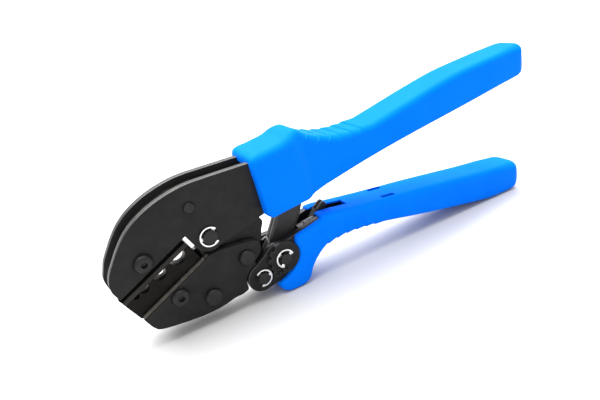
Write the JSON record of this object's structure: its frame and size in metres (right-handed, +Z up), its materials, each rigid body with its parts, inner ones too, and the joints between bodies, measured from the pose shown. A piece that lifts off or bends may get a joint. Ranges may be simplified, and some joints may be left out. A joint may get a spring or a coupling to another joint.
{
  "type": "crimping tool",
  "caption": "Ratcheting frame crimping tool with a pivoting lower jaw, exchangeable crimping dies, an adjusting wheel and two moulded plastic grips.",
  "frame": {"origin": "on the floor, at the middle of the tool's length and between the two side plates", "axes": "+X from the jaw nose to the grip ends, +Z up as the tool stands on its heel, +Y from the adjuster side to the back"},
  "size_m": [0.2256, 0.0234, 0.0798],
  "materials": {
    "black_steel": "matte black coated pressed steel with slightly worn edges",
    "die_steel": "brownish black oxide with a satin sheen",
    "dark_fastener": "black oxide, satin",
    "bright_clip": "bright plated spring steel",
    "spring_wire": "plain drawn spring wire",
    "blue_plastic": "smooth semi-gloss moulded blue plastic"
  },
  "bodies": {
    "frame": {"frame_plate_front": "black_steel", "frame_plate_back": "black_steel", "frame_spacer": "black_steel", "frame_rivet": "dark_fastener", "upper_die": "die_steel", "upper_die_screw": "dark_fastener", "upper_grip": "blue_plastic", "main_pivot_pin": "dark_fastener", "main_clip_front": "bright_clip", "main_clip_back": "bright_clip", "arm_pivot_pin": "dark_fastener"},
    "jaw": {"jaw_plate_front": "black_steel", "jaw_plate_back": "black_steel", "jaw_core": "black_steel", "jaw_rivet_low": "dark_fastener", "jaw_rivet_high": "dark_fastener", "lower_die": "die_steel", "lower_die_screw": "dark_fastener", "jaw_link_pin": "dark_fastener", "link_clip_front": "bright_clip", "link_clip_back": "bright_clip"},
    "handle": {"handle_plate_front": "black_steel", "handle_plate_back": "black_steel", "lower_grip": "blue_plastic", "adjuster_wheel": "black_steel", "adjuster_pin": "dark_fastener", "adjuster_clip_front": "bright_clip", "adjuster_clip_back": "bright_clip", "adjuster_lock_screw": "dark_fastener", "return_spring": "spring_wire", "pawl_pin": "dark_fastener", "pawl_spring": "spring_wire"},
    "toggle_arm": {"toggle_arm_front": "black_steel", "toggle_arm_back": "black_steel"},
    "pawl": {"ratchet_pawl": "black_steel"}
  },
  "joints": [
    {"name": "jaw_swing", "type": "hinge", "parent": "frame", "child": "jaw", "pos_m": [-0.0705, 0, 0.04], "axis": [0, -1, 0], "range_deg": [0, 14]},
    {"name": "handle_swing", "type": "hinge", "parent": "jaw", "child": "handle", "pos_m": [-0.052, 0, 0.0117], "axis": [0, 1, 0], "range_deg": [0, 54.7]},
    {"name": "toggle_swing", "type": "hinge", "parent": "frame", "child": "toggle_arm", "pos_m": [-0.0243, 0, 0.0486], "axis": [0, -1, 0], "range_deg": [0, 15.1]},
    {"name": "pawl_release", "type": "hinge", "parent": "handle", "child": "pawl", "pos_m": [-0.0226, 0, 0.023], "axis": [0, 1, 0], "range_deg": [0, 12], "stiffness_Nm_per_rad": 0.02, "springref_deg": -28.65}
  ],
  "couplings": [
    {"joint": "jaw_swing", "follows": "handle_swing", "ratio": 0.2558},
    {"joint": "toggle_swing", "follows": "handle_swing", "ratio": 0.2742}
  ]
}
